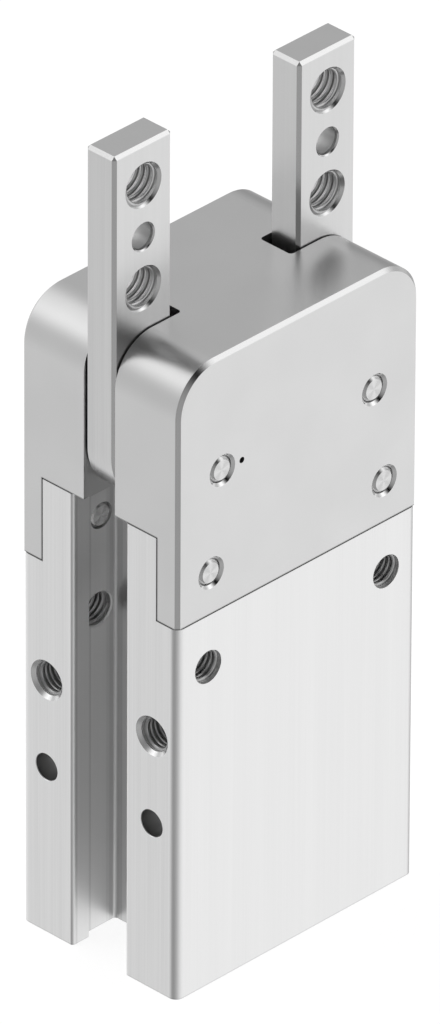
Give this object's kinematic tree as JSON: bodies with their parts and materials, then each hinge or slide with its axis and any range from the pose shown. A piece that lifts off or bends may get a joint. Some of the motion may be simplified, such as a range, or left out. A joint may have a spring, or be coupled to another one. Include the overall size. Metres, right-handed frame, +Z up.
{
  "type": "radial gripper",
  "caption": "Air-driven radial gripper: slotted aluminium body, rounded cap and flat drilled finger jaws that swing outwards by a right angle from the closed position.",
  "frame": {"origin": "middle of the bottom face of the body", "axes": "+Z up along the closed jaws, +X to the object's right along the line of the two jaws, +Y to the back"},
  "size_m": [0.046, 0.0296, 0.1275],
  "materials": {
    "body_aluminium": "clear anodised, fine drawn lines along its length",
    "cap_aluminium": "fine bead-blasted, clear anodised",
    "jaw_steel": "satin, nickel plated",
    "bearing_bronze": "plain turned",
    "pin_steel": "ground, faced ends",
    "crosshead_steel": "milled",
    "rod_steel": "ground and hard chromed",
    "piston_aluminium": "turned",
    "magnet_compound": "plastic-bonded, matt",
    "seal_rubber": "matt",
    "nut_steel": "zinc plated",
    "buffer_rubber": "matt",
    "cover_aluminium": "turned, clear anodised",
    "spring_steel": "blackened"
  },
  "bodies": {
    "housing": {"body": "body_aluminium", "cap": "cap_aluminium", "pivot_pin_left": "pin_steel", "pivot_pin_right": "pin_steel", "cap_pin_front_left": "pin_steel", "cap_pin_front_right": "pin_steel", "cap_pin_back_left": "pin_steel", "cap_pin_back_right": "pin_steel", "rod_seal": "seal_rubber", "rod_guide_bush": "bearing_bronze", "buffer_lower": "buffer_rubber", "buffer_upper": "buffer_rubber", "end_cover": "cover_aluminium", "end_cover_seal": "seal_rubber", "retaining_ring": "spring_steel"},
    "left_jaw": {"jaw_left": "jaw_steel", "jaw_bush_left": "bearing_bronze"},
    "right_jaw": {"jaw_right": "jaw_steel", "jaw_bush_right": "bearing_bronze"},
    "piston_and_crosshead": {"crosshead": "crosshead_steel", "drive_pin_left": "pin_steel", "drive_pin_right": "pin_steel", "piston_rod": "rod_steel", "piston": "piston_aluminium", "piston_magnet": "magnet_compound", "piston_seal_lower": "seal_rubber", "piston_seal_upper": "seal_rubber", "piston_nut": "nut_steel"}
  },
  "joints": [
    {"name": "left_jaw_swing", "type": "hinge", "parent": "housing", "child": "left_jaw", "pos_m": [-0.01455, 0, 0.08075], "axis": [0, -1, 0], "range_deg": [0, 90]},
    {"name": "right_jaw_swing", "type": "hinge", "parent": "housing", "child": "right_jaw", "pos_m": [0.01455, 0, 0.08075], "axis": [0, 1, 0], "range_deg": [0, 90]},
    {"name": "piston_travel", "type": "slide", "parent": "housing", "child": "piston_and_crosshead", "axis": [0, 0, 1], "range_m": [0, 0.0121]}
  ],
  "couplings": [
    {"joint": "right_jaw_swing", "follows": "left_jaw_swing", "ratio": 1},
    {"joint": "piston_travel", "follows": "left_jaw_swing", "m_per_rad": 0.007703}
  ]
}
